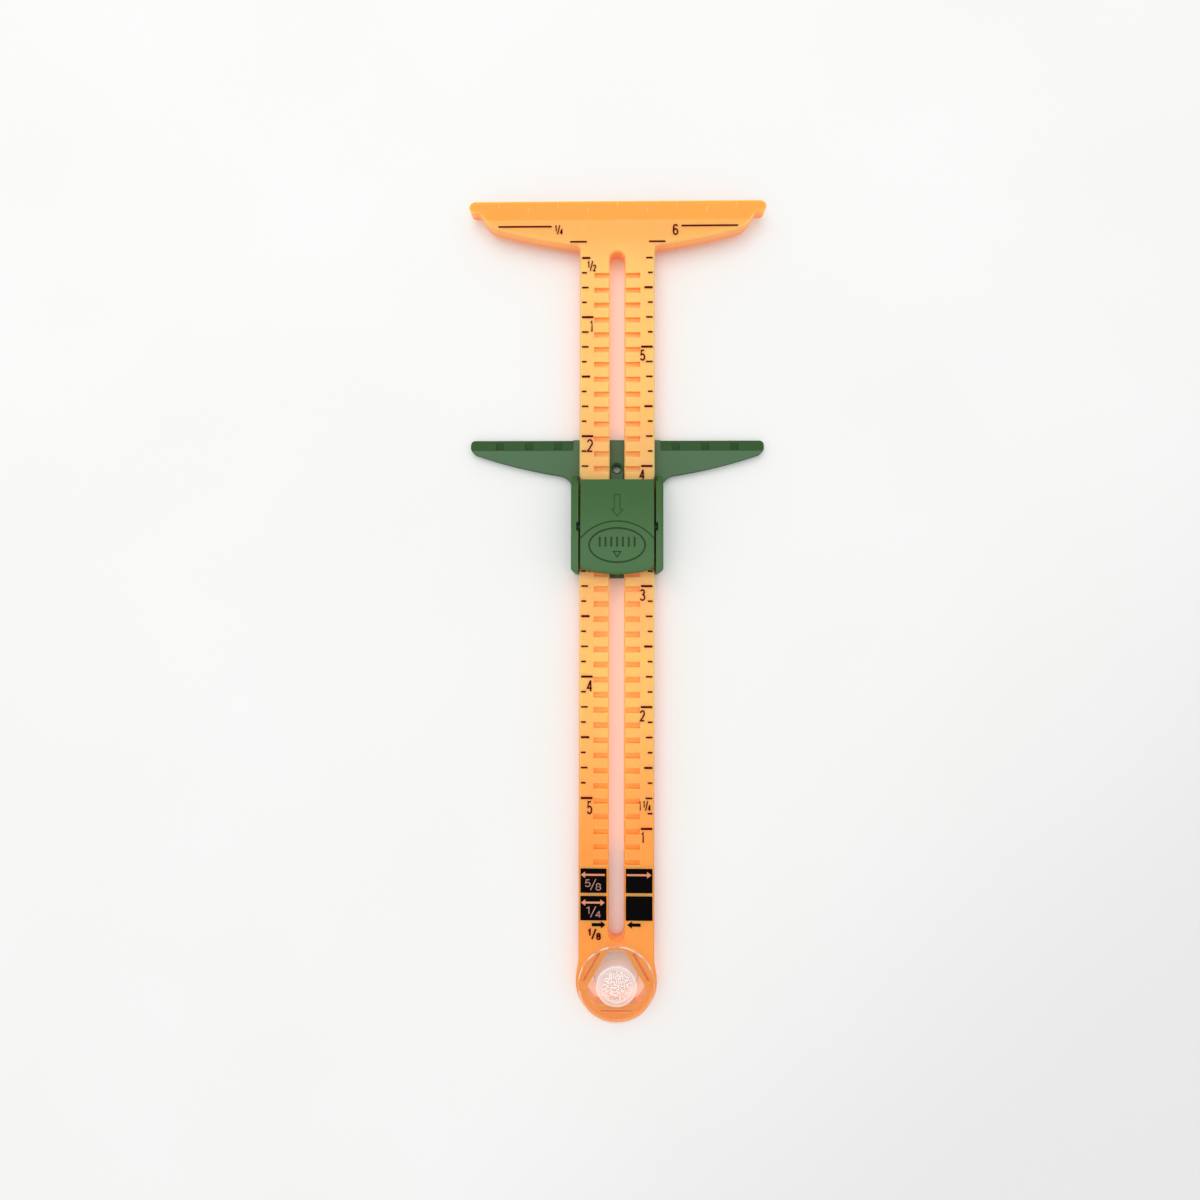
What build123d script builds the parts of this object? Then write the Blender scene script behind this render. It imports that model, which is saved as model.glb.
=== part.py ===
from build123d import *

import math
import os

# Sliding sewing gauge: a T-shaped ruler with a slot, a slider that runs along it and locks every eighth of
# an inch, and a clear button that the ruler turns about when it is used as a compass.
# Units are millimetres. The gauge lies flat, +Z up, with the printed face on top and the T head towards +Y.
# The origin is under the middle of the whole gauge, on the surface that it lies on.
# Places along the ruler are given as a distance down from the head's measuring edge, as a user reads them.

INCH = 25.4
EIGHTH = INCH / 8

# Ruler
RULER_THICK = 3.0
RULER_BOTTOM = 1.7
RULER_TOP = RULER_BOTTOM + RULER_THICK
STEM_HALF = 5 / 16 * INCH
HEAD_HALF = 1.25 * INCH
PIVOT_DOWN = 6.5 * INCH
END_RADIUS = 8.5
LENGTH = PIVOT_DOWN + END_RADIUS
RULER_EDGE = 0.3
OVERCUT = 1.0

HEAD_FOOT_DOWN = 2.6
HEAD_FOOT_IN = 29.5
HEAD_KNEE = (27.35, 5.95)
HEAD_SAG = (17.0, 8.45)
HEAD_ROOT_DOWN = 9.95
END_ROUND = 1.3
FOOT_ROUND = 1.2
KNEE_ROUND = 5.0
ROOT_ROUND = 0.9
WAIST_ROUND = 8.0
BEVEL_DEPTH = 4.5
BEVEL_DROP = 0.7

SLOT_WIDTH = INCH / 8
SLOT_TOP_DOWN = 11.2
SLOT_END_DOWN = 156.6

POCKET_ROWS = 40
FIRST_POCKET_DOWN = 16.5
POCKET_OUT = 4.87
POCKET_LONG = 1.2
POCKET_DEEP = 0.6

HEAD_TICKS = 9
TICK_PITCH = INCH / 4
HIGH_TICK = (0.35, 1.7)
LOW_TICK = (1.25, 2.9)
TICK_WIDE = 0.3
TICK_DEEP = 0.12

# Snap hole for the button
HOLE_INRADIUS = 4.75
HOLE_CORNER_RADIUS = 6.5
SLIT_OUT = 6.0
SLIT_WIDTH = 0.5
SLIT_HALF = 3.4

# Slider, measured down from its own measuring edge
SLIDER_DOWN = 2 * INCH
BASE_THICK = 1.6
WING_TIP_LONG = 2.75
WING_SAG = (20.0, 6.15)
WING_ROOT_DOWN = 8.0
WING_ROUND = 0.9
WING_KNEE_ROUND = 1.8
THROAT_ROUND = 3.4
WING_BEVEL_LONG = 2.35
WING_BEVEL_DROP = 0.6
WING_BEVEL_IN = 9.4
WING_BEVEL_ROUND = 0.4
WINDOW_PLACES = (INCH / 2, 0.75 * INCH, INCH)
WINDOW_WIDE = 1.75
WINDOW_LONG = 1.9
WINDOW_DEEP = 0.2
BODY_HALF = 9.6
BODY_ROUND = 1.0
BASE_END = 29.0
TAB_HALF = 7.0
TAB_END = 29.9
TAB_ROUND = 0.4
UNDER_EDGE = 0.2
RAIL_IN = 8.05
RAIL_TOP = 7.4
RAIL_START = 8.4
RAIL_RAMP = 3.4
RAIL_ROUND = 0.5
KEY_HALF = 1.35
KEY_LOW = 2.4
KEY_STEP = 11.2
KEY_HIGH = 4.4
KEY_END = 29.35
PENCIL_DOWN = INCH / 4
PENCIL_RADIUS = 0.85
PENCIL_SINK_RADIUS = 1.25

# Lever, measured down from the slider's measuring edge
PIVOT_ON_SLIDER = 19.5
PIVOT_Z = 5.95
TRUNNION_RADIUS = 0.7
TRUNNION_HOLE = 0.77
TRUNNION_OUT = 8.38
TRUNNION_POCKET = 8.47
ENTRY_HALF = 0.6
ENTRY_MOUTH_HALF = 0.9
ENTRY_MOUTH_Z = 6.75
LEVER_HALF = 7.65
LEVER_START = 9.7
LEVER_END = 29.35
LEVER_CORNER_END = 28.2
LEVER_UNDER = 6.1
LEVER_CROWN = 7.65
LEVER_EDGE = 7.25
LIP_ROUND = 0.8
SIDE_EDGE = 0.15
HOLD_DOWN_RADIUS = 1.05
TOOTH_ROWS = (14, 15)
TOOTH_IN = 1.85
TOOTH_OUT = 4.6
TOOTH_LONG = 0.7
TOOTH_BITE = 0.4
TOOTH_POINT = (0.25, 0.12)
PLATE_BITE = 0.3
GROOVE_DEEP = 0.2
OVAL_GROOVE = 0.36
FINE_GROOVE = 0.24
ARROW_DOWN = (12.8, 15.9, 17.6)
ARROW_HALF = (0.7, 1.4)
ARC_DOWN = (18.3, 21.9)
OVAL_DOWN = 23.4
OVAL_HALF = (5.95, 3.7)
TRIANGLE_DOWN = (24.6, 26.05)
TRIANGLE_HALF = 1.0
RIBS = 7
RIB_DOWN = 22.7
RIB_PITCH = 1.2
RIB_LONG = 2.1
RIB_WIDE = 0.42

# Spring tongue under the lever
TONGUE_HALF = 1.1
TONGUE_THICK = 0.45
TONGUE_ROOT = (21.4, 23.0)
TONGUE_TIP = 28.4
TONGUE_SAG_Z = 4.95
TONGUE_TIP_Z = 4.46

# Button
DISC_RADIUS = 5 / 16 * INCH
DISC_THICK = 1.2
DISC_GAP = 0.05
RIM_INNER = 3.4
RIM_OUTER = 4.1
RIM_HIGH = 0.45
RIM_EDGE = 0.2
RIM_FOOT = 0.3
DISC_EDGE = 0.35
DISH_RADIUS = 2.8
DISH_DEEP = 0.65
DISH_CROWN = 0.2
BOSS_RADIUS = 4.6
BEAD_RADIUS = 4.95
BEAD_TOP = 1.45
BEAD_LONG = 0.35
CUP_RADIUS = 3.35
CUP_TOP = 4.1
CUP_SLOPE = 0.9


def down(distance):
    """Y of a place that lies this far down from the head's measuring edge."""
    return LENGTH / 2 - distance


def on_slider(distance):
    """Y of a place that lies this far down from the slider's measuring edge."""
    return down(SLIDER_DOWN + distance)


def raised(sketch, height, bottom=0.0):
    """The sketch made solid, from this height above the table upwards."""
    return extrude(Pos(0, 0, bottom) * sketch, height, dir=(0, 0, 1))


def both_sides(shape):
    """The shape and its mirror image across the gauge's middle plane."""
    return shape + mirror(shape, about=Plane.YZ)


def vertices_at(sketch, x, y):
    """The outline's corners at this place, left and right."""
    return [v for v in sketch.vertices() if abs(abs(v.X) - x) < 0.01 and abs(v.Y - y) < 0.01]


def head_outline():
    """T head: square ends with a short foot, a slanting step in, then a long shallow curve to the stem."""
    knee = (HEAD_KNEE[0], down(HEAD_KNEE[1]))
    sag = (HEAD_SAG[0], down(HEAD_SAG[1]))
    root = (STEM_HALF, down(HEAD_ROOT_DOWN))
    end = Polyline(
        (0, down(0)),
        (HEAD_HALF, down(0)),
        (HEAD_HALF, down(HEAD_FOOT_DOWN)),
        (HEAD_FOOT_IN, down(HEAD_FOOT_DOWN)),
        knee,
    )
    curve = ThreePointArc(knee, sag, root)
    back = Polyline(root, (0, root[1]), (0, down(0)))
    return both_sides(make_face(end + curve + back))


def ruler_outline():
    """Head, stem and rounded end as one face, with every corner rounded."""
    pivot_y = down(PIVOT_DOWN)
    stem_top = down(HEAD_ROOT_DOWN / 2)
    stem = Pos(0, (stem_top + pivot_y) / 2) * Rectangle(2 * STEM_HALF, stem_top - pivot_y)
    face = head_outline() + stem + Pos(0, pivot_y) * Circle(END_RADIUS)
    widen_y = pivot_y + math.sqrt(END_RADIUS**2 - STEM_HALF**2)
    rounds = (
        (HEAD_HALF, down(0), END_ROUND),
        (HEAD_HALF, down(HEAD_FOOT_DOWN), FOOT_ROUND),
        (HEAD_FOOT_IN, down(HEAD_FOOT_DOWN), ROOT_ROUND),
        (HEAD_KNEE[0], down(HEAD_KNEE[1]), KNEE_ROUND),
        (STEM_HALF, down(HEAD_ROOT_DOWN), ROOT_ROUND),
        (STEM_HALF, widen_y, WAIST_ROUND),
    )
    for x, y, radius in rounds:
        face = fillet(vertices_at(face, x, y), radius)
    return face


def slot_outline(extra=0.0):
    """The long slot, open all through the stem, optionally wider all round."""
    middle = down((SLOT_TOP_DOWN + SLOT_END_DOWN) / 2)
    length = SLOT_END_DOWN - SLOT_TOP_DOWN + 2 * extra
    return Pos(0, middle) * Rot(Z=90) * SlotOverall(length, SLOT_WIDTH + 2 * extra)


def snap_hole_outline():
    """A triangle with its corners cut off round, and a slit behind each side that leaves a springy bar."""
    triangle = Rot(Z=90) * RegularPolygon(HOLE_INRADIUS, 3, major_radius=False)
    hole = triangle & Circle(HOLE_CORNER_RADIUS)
    slit = Rot(Z=90) * SlotOverall(2 * SLIT_HALF, SLIT_WIDTH)
    for turn in (30, 150, 270):
        hole += Rot(Z=turn) * Pos(SLIT_OUT, 0) * slit
    return Pos(0, down(PIVOT_DOWN)) * hole


def pocket_cutter():
    """One row of the two blind pockets beside the slot, with its top at the ruler's face."""
    return Pos(0, 0, RULER_TOP) * Box(
        2 * POCKET_OUT, POCKET_LONG, POCKET_DEEP, align=(Align.CENTER, Align.CENTER, Align.MAX)
    )


def edge_bevel():
    """The wedge that thins the head towards its measuring edge."""
    slope = Polyline(
        (down(BEVEL_DEPTH), RULER_TOP),
        (down(-OVERCUT), RULER_TOP - BEVEL_DROP / BEVEL_DEPTH * (BEVEL_DEPTH + OVERCUT)),
        (down(-OVERCUT), RULER_TOP + OVERCUT),
        (down(BEVEL_DEPTH), RULER_TOP + OVERCUT),
        close=True,
    )
    return extrude(Plane.YZ * make_face(slope), HEAD_HALF + OVERCUT, both=True)


def head_ticks():
    """Quarter inch graduations sunk in the head's bevel, every other one set lower."""
    tilt = math.degrees(math.atan2(BEVEL_DROP, BEVEL_DEPTH))
    ticks = []
    for n in range(HEAD_TICKS):
        place = (n - HEAD_TICKS // 2) * TICK_PITCH
        start, stop = HIGH_TICK if n % 2 == 0 else LOW_TICK
        middle = (start + stop) / 2
        face_z = RULER_TOP - BEVEL_DROP * (BEVEL_DEPTH - middle) / BEVEL_DEPTH
        tick = Box(TICK_WIDE, stop - start, 2 * TICK_DEEP)
        ticks.append(Pos(place, down(middle), face_z) * Rot(X=-tilt) * tick)
    return ticks


def t_ruler():
    """The ruler, one moulding of milky orange plastic."""
    body = raised(ruler_outline(), RULER_THICK, RULER_BOTTOM)
    body = chamfer(body.edges().group_by(Axis.Z)[-1], RULER_EDGE)
    body -= edge_bevel()
    body -= raised(slot_outline(), RULER_THICK, RULER_BOTTOM)
    mouth = loft(
        [
            Pos(0, 0, RULER_TOP - RULER_EDGE) * slot_outline(),
            Pos(0, 0, RULER_TOP) * slot_outline(RULER_EDGE),
        ]
    )
    body -= mouth
    body -= raised(snap_hole_outline(), RULER_THICK, RULER_BOTTOM)
    pockets = [
        Pos(0, down(FIRST_POCKET_DOWN + n * EIGHTH)) * pocket_cutter() for n in range(POCKET_ROWS)
    ]
    return body - pockets - head_ticks()


def slider_outline():
    """The slider's floor: two tapered wings as wide as the head, a short square body and a tab below it."""
    knee = (HEAD_HALF, on_slider(WING_TIP_LONG))
    root = (BODY_HALF, on_slider(WING_ROOT_DOWN))
    top = Polyline((0, on_slider(0)), (HEAD_HALF, on_slider(0)), knee)
    curve = ThreePointArc(knee, (WING_SAG[0], on_slider(WING_SAG[1])), root)
    body = Polyline(
        root,
        (BODY_HALF, on_slider(BASE_END)),
        (0, on_slider(BASE_END)),
        (0, on_slider(0)),
    )
    face = both_sides(make_face(top + curve + body))
    rounds = (
        (HEAD_HALF, on_slider(0), WING_ROUND),
        (HEAD_HALF, knee[1], WING_KNEE_ROUND),
        (BODY_HALF, root[1], THROAT_ROUND),
        (BODY_HALF, on_slider(BASE_END), BODY_ROUND),
    )
    for x, y, radius in rounds:
        face = fillet(vertices_at(face, x, y), radius)
    tab_length = TAB_END - WING_ROOT_DOWN
    tab = RectangleRounded(2 * TAB_HALF, tab_length, TAB_ROUND)
    return face + Pos(0, on_slider(WING_ROOT_DOWN + tab_length / 2)) * tab


def rail():
    """The right hand rail: a wall beside the ruler whose upper end rises from the wing in a quarter round."""
    start, end = on_slider(RAIL_START), on_slider(BASE_END)
    top_start = on_slider(RAIL_START + RAIL_RAMP)
    straight = Polyline((start, 0), (end, 0), (end, RAIL_TOP), (top_start, RAIL_TOP))
    turn = RadiusArc((top_start, RAIL_TOP), (start, RAIL_TOP - RAIL_RAMP), RAIL_RAMP)
    close = Line((start, RAIL_TOP - RAIL_RAMP), (start, 0))
    side = Plane.YZ.offset(RAIL_IN) * make_face(straight + turn + close)
    wall = extrude(side, BODY_HALF - RAIL_IN, dir=(1, 0, 0))
    corner = [e for e in wall.edges().filter_by(Axis.Z) if abs(e.center().X - BODY_HALF) < 0.01]
    wall = fillet([e for e in corner if abs(e.center().Y - end) < 0.01], BODY_ROUND)
    outer = [
        e
        for e in wall.edges()
        if abs(e.center().X - BODY_HALF) < 0.01 and e.center().Z > RAIL_TOP - RAIL_RAMP + 0.01
    ]
    return fillet(outer, RAIL_ROUND)


def trunnion_pocket():
    """A blind round hole in a rail's inner face, with a narrower gap above that the lever snaps through."""
    mouth = LEVER_HALF
    reach = TRUNNION_POCKET - mouth
    place = Pos(mouth, on_slider(PIVOT_ON_SLIDER), PIVOT_Z)
    hole = place * Rot(Y=90) * Cylinder(TRUNNION_HOLE, reach, align=(Align.CENTER, Align.CENTER, Align.MIN))
    upward = Align.MIN, Align.CENTER, Align.MIN
    entry = place * Box(reach, 2 * ENTRY_HALF, RAIL_TOP, align=upward)
    mouth_place = Pos(mouth, on_slider(PIVOT_ON_SLIDER), ENTRY_MOUTH_Z)
    return hole + entry + mouth_place * Box(reach, 2 * ENTRY_MOUTH_HALF, RAIL_TOP, align=upward)


def guide_key():
    """The rib in the ruler's slot: round at both ends, low round the pencil hole, high under the lever."""
    start = PENCIL_DOWN - KEY_HALF
    plan = Rot(Z=90) * SlotOverall(KEY_END - start, 2 * KEY_HALF)
    plan = Pos(0, on_slider((start + KEY_END) / 2)) * plan
    foot = BASE_THICK / 2
    low = raised(plan, KEY_LOW - foot, foot)
    beyond = Align.CENTER, Align.MAX, Align.CENTER
    behind = Pos(0, on_slider(KEY_STEP)) * Box(LENGTH, LENGTH, LENGTH, align=beyond)
    return low + (raised(plan, KEY_HIGH - foot, foot) & behind)


def wing_bevel():
    """The wedge cut from a wing's measuring edge, with its inner corners a little rounded."""
    long = HEAD_HALF + OVERCUT - WING_BEVEL_IN
    middle = WING_BEVEL_IN + long / 2
    fall = WING_BEVEL_DROP / WING_BEVEL_LONG
    slope = Polyline(
        (on_slider(WING_BEVEL_LONG), BASE_THICK),
        (on_slider(-OVERCUT), BASE_THICK - fall * (WING_BEVEL_LONG + OVERCUT)),
        (on_slider(-OVERCUT), BASE_THICK + OVERCUT),
        (on_slider(WING_BEVEL_LONG), BASE_THICK + OVERCUT),
        close=True,
    )
    wedge = extrude(Plane.YZ.offset(middle) * make_face(slope), long / 2, both=True)
    plan = Pos(middle, on_slider(0)) * RectangleRounded(long, 2 * WING_BEVEL_LONG, WING_BEVEL_ROUND)
    return wedge & raised(plan, BASE_THICK + OVERCUT)


def wing_windows():
    """Shallow marks in the bevel at a half, three quarters and one inch from the middle."""
    window = Box(WINDOW_WIDE, WINDOW_LONG, WING_BEVEL_DROP + 2 * WINDOW_DEEP)
    return [Pos(x, on_slider(WING_BEVEL_LONG / 2), BASE_THICK) * window for x in WINDOW_PLACES]


def slider_base():
    """The slider's lower moulding: floor, wings, rails and the key that runs in the slot."""
    floor = raised(slider_outline(), BASE_THICK)
    under = floor.edges().group_by(Axis.Z)[0]
    floor = chamfer(under, UNDER_EDGE)
    floor -= both_sides(wing_bevel())
    for window in wing_windows():
        floor -= both_sides(window)
    base = floor + both_sides(rail()) + guide_key()
    base -= both_sides(trunnion_pocket())
    place = Pos(0, on_slider(PENCIL_DOWN), 0)
    base -= place * Cylinder(PENCIL_RADIUS, 3 * KEY_LOW)
    sink = Cone(
        PENCIL_RADIUS,
        PENCIL_SINK_RADIUS,
        PENCIL_SINK_RADIUS - PENCIL_RADIUS,
        align=(Align.CENTER, Align.CENTER, Align.MAX),
    )
    return base - place * Pos(0, 0, KEY_LOW) * sink


def lever_plate():
    """The lever's plate: crowned along its length, with a lower end curved like a thumbnail."""
    start, end, past = on_slider(LEVER_START), on_slider(LEVER_END), on_slider(LEVER_END + 1)
    crest = (on_slider(PIVOT_ON_SLIDER), LEVER_CROWN)
    crown = ThreePointArc((past, LEVER_EDGE), crest, (start, LEVER_EDGE))
    under = Polyline((start, LEVER_EDGE), (start, LEVER_UNDER), (past, LEVER_UNDER), (past, LEVER_EDGE))
    plate = extrude(Plane.YZ * make_face(crown + under), LEVER_HALF, both=True)
    corner_y = on_slider(LEVER_CORNER_END)
    nail = ThreePointArc((-LEVER_HALF, corner_y), (0, end), (LEVER_HALF, corner_y))
    corners = ((LEVER_HALF, corner_y), (LEVER_HALF, start), (-LEVER_HALF, start), (-LEVER_HALF, corner_y))
    rest = Polyline(*corners)
    plate &= raised(make_face(nail + rest), 2 * LEVER_CROWN)
    middle_z = (LEVER_UNDER + LEVER_EDGE) / 2
    lip = [e for e in plate.edges() if e.center().Y < corner_y and e.bounding_box().size.X > LEVER_HALF]
    plate = fillet([e for e in lip if e.center().Z > middle_z], LIP_ROUND)
    long = [e for e in plate.edges() if e.bounding_box().size.Y > LEVER_HALF and e.center().Z > middle_z]
    return chamfer([e for e in long if abs(abs(e.center().X) - LEVER_HALF) < 0.01], SIDE_EDGE)


def outline_of(sketch, width):
    """A line of this width that runs just inside a face's edge."""
    return sketch - offset(sketch, -width)


def thumb_marks():
    """Everything sunk in the lever's face: arrow, arc, oval, small triangle and a row of grip ribs."""
    tail, neck, tip = (on_slider(d) for d in ARROW_DOWN)
    shaft, barb = ARROW_HALF
    arrow = make_face(
        Polyline(
            (-shaft, tail),
            (shaft, tail),
            (shaft, neck),
            (barb, neck),
            (0, tip),
            (-barb, neck),
            (-shaft, neck),
            close=True,
        )
    )
    apex, foot = ARC_DOWN
    rise = foot - apex
    arc_radius = (LEVER_HALF**2 + rise**2) / (2 * rise)
    arc = Pos(0, on_slider(apex + arc_radius)) * (Circle(arc_radius) - Circle(arc_radius - FINE_GROOVE))
    window = Pos(0, on_slider((apex + foot) / 2)) * Rectangle(2 * LEVER_HALF, rise + FINE_GROOVE)
    oval = Ellipse(*OVAL_HALF) - Ellipse(*(half - OVAL_GROOVE for half in OVAL_HALF))
    base, point = (on_slider(d) for d in TRIANGLE_DOWN)
    triangle = make_face(Polyline((-TRIANGLE_HALF, base), (TRIANGLE_HALF, base), (0, point), close=True))
    marks = outline_of(arrow, FINE_GROOVE) + outline_of(triangle, FINE_GROOVE)
    marks += (arc & window) + Pos(0, on_slider(OVAL_DOWN)) * oval
    for n in range(RIBS):
        place = Pos((n - (RIBS - 1) / 2) * RIB_PITCH, on_slider(RIB_DOWN))
        marks += place * Rot(Z=90) * SlotOverall(RIB_LONG, RIB_WIDE)
    return marks


def tooth(row):
    """One right hand tooth that drops into a pocket of this row, with a narrowed tip."""
    y = down(FIRST_POCKET_DOWN + row * EIGHTH)
    tip = RULER_TOP - TOOTH_BITE
    box = Pos((TOOTH_IN + TOOTH_OUT) / 2, y, tip) * Box(
        TOOTH_OUT - TOOTH_IN,
        TOOTH_LONG,
        LEVER_UNDER - tip + PLATE_BITE,
        align=(Align.CENTER, Align.CENTER, Align.MIN),
    )
    tip_edges = box.edges().group_by(Axis.Z)[0].filter_by(Axis.X)
    return chamfer(tip_edges, *TOOTH_POINT)


def push_lever():
    """The rocker that locks the slider: thumb plate, trunnion bar and two rows of teeth."""
    plate = lever_plate()
    marks = raised(thumb_marks(), 2 * LEVER_CROWN)
    plate -= marks - Pos(0, 0, -GROOVE_DEEP) * plate - Box(LENGTH, LENGTH, 2 * LEVER_UNDER)
    axis = Pos(0, on_slider(PIVOT_ON_SLIDER), PIVOT_Z) * Rot(Y=90)
    bar = axis * Cylinder(HOLD_DOWN_RADIUS, 2 * LEVER_HALF)
    trunnions = axis * Cylinder(TRUNNION_RADIUS, 2 * TRUNNION_OUT)
    lever = plate + bar + trunnions
    for row in TOOTH_ROWS:
        lever += both_sides(tooth(row))
    return lever


def spring_tongue():
    """The thin tongue that hangs from the lever and bears on the key, so that the teeth drop back."""
    root_start, root_end = (on_slider(d) for d in TONGUE_ROOT)
    tip = on_slider(TONGUE_TIP)
    hang = LEVER_UNDER - TONGUE_THICK
    sag_y = (root_end + tip) / 2
    lower = ThreePointArc((root_end, hang), (sag_y, TONGUE_SAG_Z), (tip, TONGUE_TIP_Z))
    upper = ThreePointArc(
        (tip, TONGUE_TIP_Z + TONGUE_THICK), (sag_y, TONGUE_SAG_Z + TONGUE_THICK), (root_end, LEVER_UNDER)
    )
    ends = Line((tip, TONGUE_TIP_Z), (tip, TONGUE_TIP_Z + TONGUE_THICK))
    root = Polyline((root_end, LEVER_UNDER), (root_start, LEVER_UNDER), (root_start, hang), (root_end, hang))
    return extrude(Plane.YZ * make_face(lower + ends + upper + root), TONGUE_HALF, both=True)


def anchor_button():
    """The clear pivot button: a disc on the ruler's face, and a hollow boss that snaps through the hole."""
    under = RULER_TOP + DISC_GAP
    top = under + DISC_THICK
    profile = Polyline(
        (0, top - DISH_DEEP + DISH_CROWN),
        (DISH_RADIUS, top - DISH_DEEP),
        (RIM_INNER, top + RIM_HIGH),
        (RIM_OUTER, top + RIM_HIGH),
        (RIM_OUTER + RIM_FOOT, top),
        (DISC_RADIUS, top),
        (DISC_RADIUS, under),
        (BOSS_RADIUS, under),
        (BOSS_RADIUS, BEAD_TOP),
        (BEAD_RADIUS, BEAD_TOP - BEAD_LONG),
        (BEAD_RADIUS, BEAD_TOP - 2 * BEAD_LONG),
        (BOSS_RADIUS, 0),
        (CUP_RADIUS, 0),
        (CUP_RADIUS, CUP_TOP - CUP_SLOPE),
        (CUP_RADIUS - CUP_SLOPE, CUP_TOP),
        (0, CUP_TOP + DISH_CROWN),
        close=True,
    )
    face = make_face(profile)
    face = chamfer([v for v in face.vertices() if abs(v.X - DISC_RADIUS) < 0.01], DISC_EDGE)
    face = chamfer([v for v in face.vertices() if abs(v.Y - top - RIM_HIGH) < 0.01], RIM_EDGE)
    return Pos(0, down(PIVOT_DOWN)) * revolve(Plane.XZ * face, Axis.Z)


def main():
    os.makedirs("parts", exist_ok=True)
    nodes = {
        "t_ruler": t_ruler(),
        "slider_base": slider_base(),
        "push_lever": push_lever(),
        "spring_tongue": spring_tongue(),
        "anchor_button": anchor_button(),
    }
    for name, shape in nodes.items():
        export_step(shape, f"parts/{name}.step")


main()
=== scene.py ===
import math

import bmesh
import bpy
import numpy as np
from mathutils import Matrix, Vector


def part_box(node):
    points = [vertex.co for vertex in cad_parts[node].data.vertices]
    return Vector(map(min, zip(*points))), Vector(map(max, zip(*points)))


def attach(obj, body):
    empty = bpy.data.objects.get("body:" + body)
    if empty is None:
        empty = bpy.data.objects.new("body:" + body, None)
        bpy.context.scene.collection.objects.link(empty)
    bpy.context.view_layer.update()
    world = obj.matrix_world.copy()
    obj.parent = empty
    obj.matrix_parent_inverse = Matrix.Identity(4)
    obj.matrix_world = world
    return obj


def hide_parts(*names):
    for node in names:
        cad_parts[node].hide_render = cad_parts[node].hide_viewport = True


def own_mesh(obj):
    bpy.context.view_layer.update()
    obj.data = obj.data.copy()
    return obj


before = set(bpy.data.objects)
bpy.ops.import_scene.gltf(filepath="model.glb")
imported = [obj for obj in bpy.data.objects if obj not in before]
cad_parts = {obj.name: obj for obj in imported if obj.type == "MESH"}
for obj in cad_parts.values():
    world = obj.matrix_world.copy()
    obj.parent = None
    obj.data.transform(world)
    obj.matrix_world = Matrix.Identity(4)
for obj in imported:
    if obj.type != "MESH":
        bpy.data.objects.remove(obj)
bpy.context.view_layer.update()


# THE RULER
# One moulding of milky orange plastic, glossy on its face and a little wavy where head and stem shrank
# unevenly. Light that goes in at the face comes out yellow at the top edges and red low on the walls. Much
# of the light and shade is painted into the colour: the face yellower at the head's end and redder at the
# shaded end, a rim along the edges, shade on the chamfers and in the pockets, pinkish light low on the
# walls, and an emitted glow.

MM = 0.001
INCH = 25.4 * MM
HEAD_LONG = 10 * MM
HEAD_BEVEL = 4.5 * MM
HEAD_BEVEL_DROP = 0.7 * MM
STEM_HALF = 5 / 16 * INCH
SLOT_HALF = INCH / 16
POCKET_DEEP = 0.6 * MM
SNAP_HOLE_DOWN = 165.1 * MM
SNAP_HOLE_REACH = 7 * MM
head_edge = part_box("t_ruler")[1].y
ruler_back, ruler_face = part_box("t_ruler")[0].z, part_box("t_ruler")[1].z


def down(distance):
    """Y of a place that lies this far down from the head's measuring edge."""
    return head_edge - distance


SHADED_END = (-10 * MM, -60 * MM)
WARM_STRETCH = [down(y * MM) for y in (40, 52, 84, 100)]
SQUARES_STRETCH = [down(y * MM) for y in (136, 142, 156, 162)]


class Value:
    """A number or colour that varies over a surface. Sums, differences and products of numbers add Math
    nodes."""

    def __init__(self, finish, socket):
        self.finish = finish
        self.socket = socket

    def math(self, operation, first, second):
        return self.finish.node("ShaderNodeMath", {"operation": operation}, {0: first, 1: second})

    def __add__(self, other):
        return self.math("ADD", self, other)

    def __radd__(self, other):
        return self.math("ADD", other, self)

    def __sub__(self, other):
        return self.math("SUBTRACT", self, other)

    def __rsub__(self, other):
        return self.math("SUBTRACT", other, self)

    def __mul__(self, other):
        return self.math("MULTIPLY", self, other)

    def __rmul__(self, other):
        return self.math("MULTIPLY", other, self)

    def __abs__(self):
        return self.math("ABSOLUTE", self, 0.0)


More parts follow.
